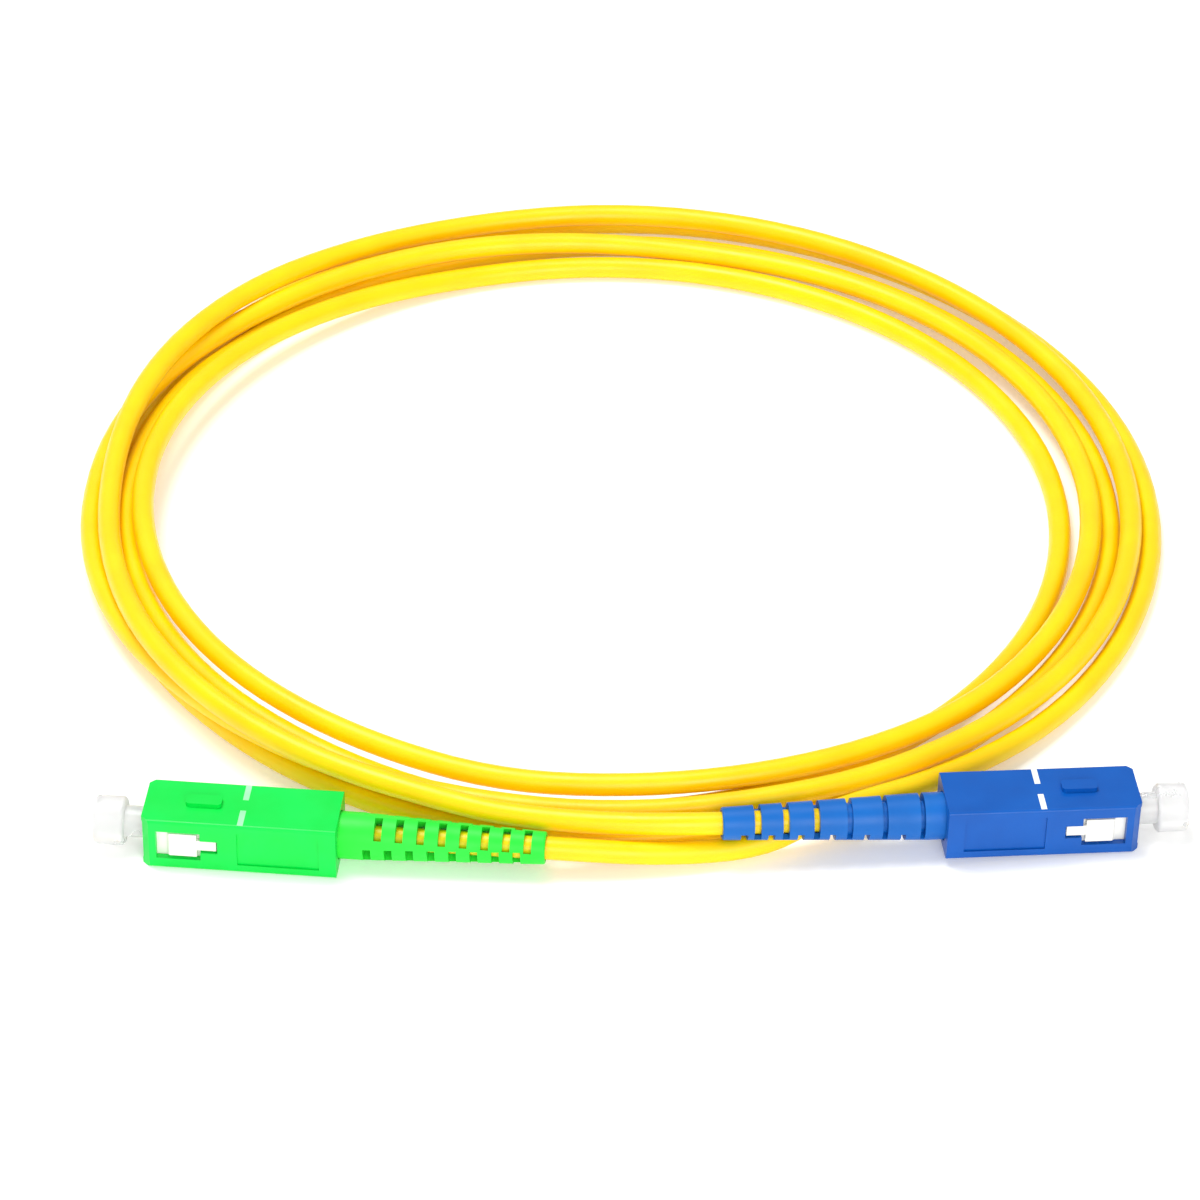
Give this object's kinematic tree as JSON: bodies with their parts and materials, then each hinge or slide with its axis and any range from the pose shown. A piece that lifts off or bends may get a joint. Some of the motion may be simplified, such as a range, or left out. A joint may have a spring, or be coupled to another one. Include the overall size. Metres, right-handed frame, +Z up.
{
  "type": "fiber optic patch cord",
  "caption": "Simplex single-mode fibre patch cord: push-pull square plugs, one angled-polish green and one flat-polish blue, on a loosely coiled yellow jacket, with dust caps.",
  "frame": {"origin": "on the floor, at the middle of the box around the two plugs", "axes": "+X from the green plug to the blue plug, +Y from the plugs across the coil, +Z up"},
  "size_m": [0.1478, 0.1564, 0.0084],
  "materials": {
    "jacket_yellow": "extruded PVC, soft satin gloss",
    "green_shell": "moulded thermoplastic, semi-gloss",
    "blue_shell": "moulded thermoplastic, semi-gloss",
    "green_boot": "moulded soft elastomer, satin",
    "blue_boot": "moulded soft elastomer, satin",
    "mark_white": "pad-printed ink, matt",
    "frame_white": "moulded thermoplastic, semi-gloss",
    "cap_clear": "translucent polyethylene",
    "clear_tube": "extruded fluoropolymer",
    "zirconia": "ground and polished",
    "nickel_plate": "turned, nickel plated",
    "crimp_metal": "drawn, plated",
    "spring_steel": "drawn wire",
    "aramid_yarn": "loose filament yarn",
    "buffer_white": "extruded tight buffer"
  },
  "bodies": {
    "root_cord": {"cord_coil": "jacket_yellow", "green_cord_tail": "jacket_yellow", "blue_cord_tail": "jacket_yellow", "green_plug_frame": "frame_white", "green_back_post": "nickel_plate", "green_guide_tube": "clear_tube", "green_yarn_end": "aramid_yarn", "green_crimp_ring": "crimp_metal", "green_fibre_buffer": "buffer_white", "green_ferrule_spring": "spring_steel", "green_boot": "green_boot", "blue_plug_frame": "frame_white", "blue_back_post": "nickel_plate", "blue_guide_tube": "clear_tube", "blue_yarn_end": "aramid_yarn", "blue_crimp_ring": "crimp_metal", "blue_fibre_buffer": "buffer_white", "blue_ferrule_spring": "spring_steel", "blue_boot": "blue_boot"},
    "green_grip_body": {"green_grip": "green_shell", "green_index_marks": "mark_white"},
    "green_ferrule_body": {"green_ferrule": "zirconia", "green_ferrule_flange": "nickel_plate", "green_fibre_end": "buffer_white"},
    "green_cap_body": {"green_dust_cap": "cap_clear"},
    "blue_grip_body": {"blue_grip": "blue_shell", "blue_index_marks": "mark_white"},
    "blue_ferrule_body": {"blue_ferrule": "zirconia", "blue_ferrule_flange": "nickel_plate", "blue_fibre_end": "buffer_white"},
    "blue_cap_body": {"blue_dust_cap": "cap_clear"}
  },
  "joints": [
    {"name": "green_grip_slide", "type": "slide", "parent": "root_cord", "child": "green_grip_body", "axis": [-0.9945, 0.1045, 0], "range_m": [-0.0013, 0]},
    {"name": "green_ferrule_slide", "type": "slide", "parent": "root_cord", "child": "green_ferrule_body", "axis": [-0.9945, 0.1045, 0], "range_m": [-0.0015, 0], "stiffness_N_per_m": 1500, "springref_m": 0.005, "deforming": ["green_ferrule_spring"]},
    {"name": "green_cap_pull", "type": "slide", "parent": "green_ferrule_body", "child": "green_cap_body", "axis": [-0.9945, 0.1045, 0], "range_m": [0, 0.01]},
    {"name": "blue_grip_slide", "type": "slide", "parent": "root_cord", "child": "blue_grip_body", "axis": [0.9932, 0.1096, -0.0393], "range_m": [-0.0013, 0]},
    {"name": "blue_ferrule_slide", "type": "slide", "parent": "root_cord", "child": "blue_ferrule_body", "axis": [0.9932, 0.1096, -0.0393], "range_m": [-0.0015, 0], "stiffness_N_per_m": 1500, "springref_m": 0.005, "deforming": ["blue_ferrule_spring"]},
    {"name": "blue_cap_pull", "type": "slide", "parent": "blue_ferrule_body", "child": "blue_cap_body", "axis": [0.9932, 0.1096, -0.0393], "range_m": [0, 0.01]}
  ]
}
